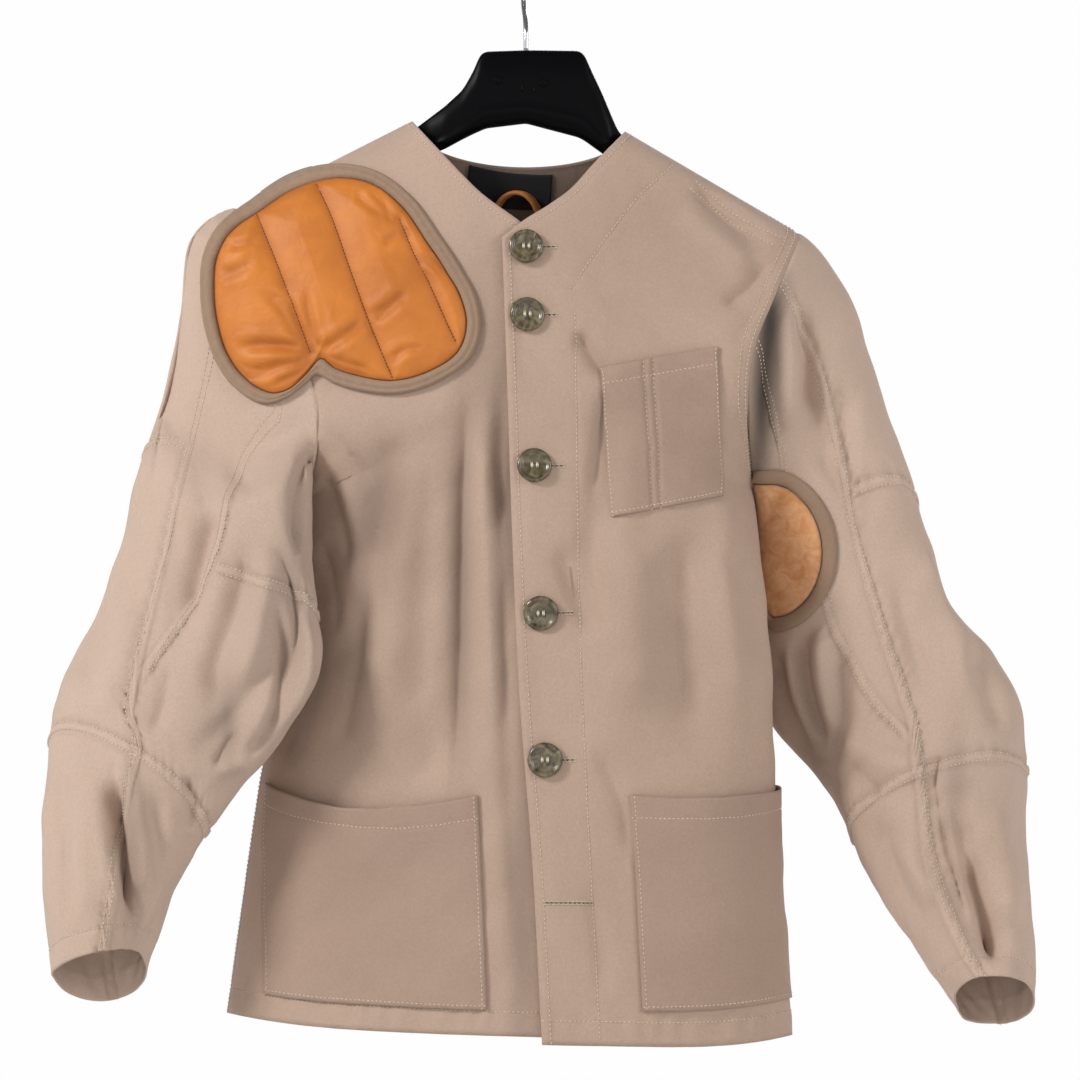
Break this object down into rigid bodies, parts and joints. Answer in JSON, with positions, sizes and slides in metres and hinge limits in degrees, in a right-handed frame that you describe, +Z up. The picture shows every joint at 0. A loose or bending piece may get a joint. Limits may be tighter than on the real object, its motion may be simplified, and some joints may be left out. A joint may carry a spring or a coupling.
{
  "type": "shooting jacket on a hanger",
  "caption": "Buttoned cloth shooting jacket with a quilted leather recoil pad and patch pockets, hung on a moulded hanger with a wire hook.",
  "frame": {"origin": "inner top of the hanger's hook, where the rail bears", "axes": "+Z up through the hook, +X to the wearer's left, -Y out of the front"},
  "size_m": [0.7069, 0.2298, 0.7966],
  "materials": {
    "cotton": "matte cotton poplin",
    "pocketing": "matte cotton",
    "binding": "matte cotton tape",
    "pad_leather": "soft sheen",
    "suede": "napped",
    "label": "woven",
    "horn": "polished, marbled",
    "moulding": "satin black",
    "wire": "polished"
  },
  "bodies": {
    "root": {"front_left": "cotton", "front_right": "cotton", "back": "cotton", "sleeve_left_outer_upper": "cotton", "sleeve_left_outer_lower": "cotton", "sleeve_left_middle": "cotton", "sleeve_left_inner": "cotton", "sleeve_left_forearm_outer": "cotton", "sleeve_left_forearm_inner": "cotton", "sleeve_right_outer_upper": "cotton", "sleeve_right_outer_lower": "cotton", "sleeve_right_middle": "cotton", "sleeve_right_inner_upper": "cotton", "sleeve_right_inner_lower": "cotton", "sleeve_right_forearm_outer": "cotton", "sleeve_right_forearm_inner": "cotton", "pocket_chest": "pocketing", "pocket_left": "pocketing", "pocket_right": "pocketing", "recoil_pad": "pad_leather", "recoil_pad_binding": "binding", "elbow_patch": "suede", "elbow_patch_binding": "binding", "neck_label": "label", "hanging_loop": "pad_leather", "button_1": "horn", "button_2": "horn", "button_3": "horn", "button_4": "horn", "button_5": "horn", "hanger": "moulding", "hook": "wire"}
  },
  "joints": []
}
